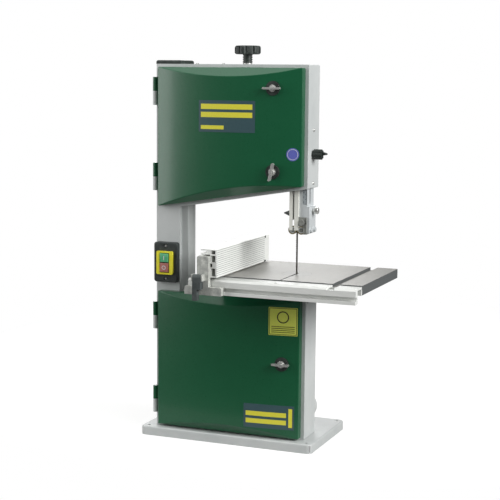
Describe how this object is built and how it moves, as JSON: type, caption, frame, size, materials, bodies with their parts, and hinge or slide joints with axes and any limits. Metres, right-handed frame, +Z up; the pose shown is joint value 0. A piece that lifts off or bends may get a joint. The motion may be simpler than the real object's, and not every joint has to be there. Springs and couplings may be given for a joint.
{
  "type": "band saw",
  "caption": "Bench band saw: steel column frame, two hinged bowed doors over the blade wheels, tilting cast table with rip fence and mitre slot, and a rising blade guide.",
  "frame": {"origin": "middle of the base plate's footprint, on the surface it stands on", "axes": "+X to the operator's right, +Y to the back, +Z up; the doors face -Y"},
  "size_m": [0.517, 0.336, 0.855],
  "materials": {
    "green_paint": "gloss hammered",
    "grey_paint": "satin",
    "black_plastic": "fine grain",
    "lever_plastic": "fine grain",
    "switch_black": "fine grain",
    "yellow_plastic": "gloss",
    "green_plastic": "gloss",
    "red_plastic": "gloss",
    "steel": "satin",
    "chrome": "polished",
    "cast_iron": "ground",
    "aluminium": "extruded",
    "die_cast": "cast",
    "guard_paint": "satin",
    "rubber": "matt",
    "motor_paint": "satin"
  },
  "bodies": {
    "root": {"base_plate": "grey_paint", "column_tube": "grey_paint", "column_cap": "black_plastic", "return_blade_guard": "grey_paint", "upper_cabinet": "grey_paint", "lower_cabinet": "grey_paint", "trunnion_base": "cast_iron", "lower_bearing_housing": "grey_paint", "dust_port": "grey_paint", "cable_gland": "black_plastic", "frame_screws": "steel", "motor_body": "motor_paint", "motor_fan_cowl": "motor_paint", "saw_blade": "steel", "drive_belt": "rubber", "frame_hinge_leaves": "grey_paint", "hinge_pins": "steel", "switch_box": "switch_black", "switch_bezel": "yellow_plastic"},
    "upper_door": {"upper_door": "green_paint", "upper_door_hinge_leaves": "green_paint", "upper_lock_rings": "black_plastic"},
    "lower_door": {"lower_door": "green_paint", "lower_door_hinge_leaves": "green_paint", "lower_lock_ring": "black_plastic"},
    "upper_top_lock_key": {"upper_top_lock_key": "chrome"},
    "upper_bottom_lock_key": {"upper_bottom_lock_key": "chrome"},
    "lower_lock_key": {"lower_lock_key": "chrome"},
    "tension_screw": {"tension_screw": "steel", "tension_knob": "black_plastic"},
    "wheel_carriage": {"wheel_carriage": "steel", "tension_spring": "steel"},
    "upper_wheel": {"upper_wheel": "aluminium", "upper_tyre": "rubber"},
    "lower_wheel": {"lower_wheel": "aluminium", "lower_tyre": "rubber", "lower_shaft": "steel"},
    "motor_rotor": {"motor_pulley": "steel"},
    "tracking_knob": {"tracking_knob": "black_plastic"},
    "guide": {"guide_post": "steel", "blade_guard": "guard_paint", "guide_bracket": "steel", "guide_casting": "die_cast"},
    "left_guide_roller": {"left_guide_roller": "steel"},
    "right_guide_roller": {"right_guide_roller": "steel"},
    "thrust_bearing": {"thrust_bearing": "steel"},
    "height_drive": {"height_pinion": "steel", "height_knob": "black_plastic"},
    "guide_thumb_screw": {"guide_thumb_screw": "chrome"},
    "guard_knob": {"guard_knob": "black_plastic"},
    "table": {"table_casting": "cast_iron", "table_insert": "aluminium", "trunnion_segments": "cast_iron", "front_rail": "aluminium"},
    "tilt_lock": {"tilt_lock_knob": "black_plastic"},
    "fence": {"fence_extrusion": "aluminium", "fence_clamp": "die_cast"},
    "fence_lever": {"fence_lever": "lever_plastic"},
    "start_button": {"start_button": "green_plastic"},
    "stop_button": {"stop_button": "red_plastic"}
  },
  "joints": [
    {"name": "upper_door_swing", "type": "hinge", "parent": "root", "child": "upper_door", "pos_m": [-0.176, -0.0885, 0.66], "axis": [0, 0, -1], "range_deg": [0, 110]},
    {"name": "lower_door_swing", "type": "hinge", "parent": "root", "child": "lower_door", "pos_m": [-0.176, -0.0885, 0.17], "axis": [0, 0, -1], "range_deg": [0, 110]},
    {"name": "upper_top_lock_turn", "type": "hinge", "parent": "upper_door", "child": "upper_top_lock_key", "pos_m": [0.104, -0.11, 0.766], "axis": [0, 1, 0], "range_deg": [0, 90]},
    {"name": "upper_bottom_lock_turn", "type": "hinge", "parent": "upper_door", "child": "upper_bottom_lock_key", "pos_m": [0.105, -0.11, 0.593], "axis": [0, 1, 0], "range_deg": [0, 90]},
    {"name": "lower_lock_turn", "type": "hinge", "parent": "lower_door", "child": "lower_lock_key", "pos_m": [0.129, -0.11, 0.186], "axis": [0, 1, 0], "range_deg": [0, 90]},
    {"name": "tension_screw_turn", "type": "hinge", "parent": "root", "child": "tension_screw", "pos_m": [0.0142, -0.028, 0.8], "axis": [0, 0, -1], "range_deg": [-2305, 0]},
    {"name": "carriage_slide", "type": "slide", "parent": "root", "child": "wheel_carriage", "axis": [0, 0, 1], "range_m": [-0.008, 0]},
    {"name": "upper_wheel_spin", "type": "hinge", "parent": "wheel_carriage", "child": "upper_wheel", "pos_m": [0.0142, -0.049, 0.675], "axis": [0, 1, 0], "continuous": true},
    {"name": "lower_wheel_spin", "type": "hinge", "parent": "root", "child": "lower_wheel", "pos_m": [0.0142, -0.049, 0.1556], "axis": [0, 1, 0], "continuous": true},
    {"name": "motor_spin", "type": "hinge", "parent": "root", "child": "motor_rotor", "pos_m": [-0.07, -0.03, 0.095], "axis": [0, 1, 0], "continuous": true},
    {"name": "tracking_knob_turn", "type": "hinge", "parent": "root", "child": "tracking_knob", "pos_m": [0.0142, 0, 0.627], "axis": [0, 1, 0], "range_deg": [-180, 180]},
    {"name": "guide_height", "type": "slide", "parent": "root", "child": "guide", "axis": [0, 0, -1], "range_m": [-0.028, 0.065]},
    {"name": "height_knob_turn", "type": "hinge", "parent": "root", "child": "height_drive", "pos_m": [0.1735, -0.0525, 0.629], "axis": [1, 0, 0], "range_deg": [-268, 621]},
    {"name": "left_roller_spin", "type": "hinge", "parent": "guide", "child": "left_guide_roller", "pos_m": [0.12995, -0.0486, 0.467], "axis": [0, 1, 0], "continuous": true},
    {"name": "right_roller_spin", "type": "hinge", "parent": "guide", "child": "right_guide_roller", "pos_m": [0.14965, -0.0486, 0.467], "axis": [0, 1, 0], "continuous": true},
    {"name": "thrust_bearing_spin", "type": "hinge", "parent": "guide", "child": "thrust_bearing", "pos_m": [0.1398, -0.0349, 0.4835], "axis": [1, 0, 0], "continuous": true},
    {"name": "guide_thumb_screw_turn", "type": "hinge", "parent": "guide", "child": "guide_thumb_screw", "pos_m": [0.18, -0.048, 0.51], "axis": [1, 0, 0], "range_deg": [0, 360]},
    {"name": "guard_knob_turn", "type": "hinge", "parent": "guide", "child": "guard_knob", "pos_m": [0.12, -0.064, 0.504], "axis": [1, 0, 0], "range_deg": [0, 360]},
    {"name": "table_tilt", "type": "hinge", "parent": "root", "child": "table", "pos_m": [0.1398, 0, 0.373], "axis": [0, 1, 0], "range_deg": [0, 45]},
    {"name": "tilt_lock_turn", "type": "hinge", "parent": "root", "child": "tilt_lock", "pos_m": [0.1398, 0, 0.337], "axis": [0, 1, 0], "range_deg": [0, 180]},
    {"name": "fence_slide", "type": "slide", "parent": "table", "child": "fence", "axis": [-1, 0, 0], "range_m": [-0.115, 0]},
    {"name": "fence_lever_turn", "type": "hinge", "parent": "fence", "child": "fence_lever", "pos_m": [-0.0175, -0.2145, 0.377], "axis": [-1, 0, 0], "range_deg": [0, 90]},
    {"name": "start_button_press", "type": "slide", "parent": "root", "child": "start_button", "axis": [0, 1, 0], "range_m": [0, 0.0025], "stiffness_N_per_m": 400},
    {"name": "stop_button_press", "type": "slide", "parent": "root", "child": "stop_button", "axis": [0, 1, 0], "range_m": [0, 0.0025], "stiffness_N_per_m": 400}
  ],
  "couplings": [
    {"joint": "tension_screw_turn", "follows": "carriage_slide", "rad_per_m": 5026.5},
    {"joint": "upper_wheel_spin", "follows": "lower_wheel_spin", "ratio": 1},
    {"joint": "motor_spin", "follows": "lower_wheel_spin", "ratio": 3.5714},
    {"joint": "height_knob_turn", "follows": "guide_height", "rad_per_m": 166.67}
  ]
}
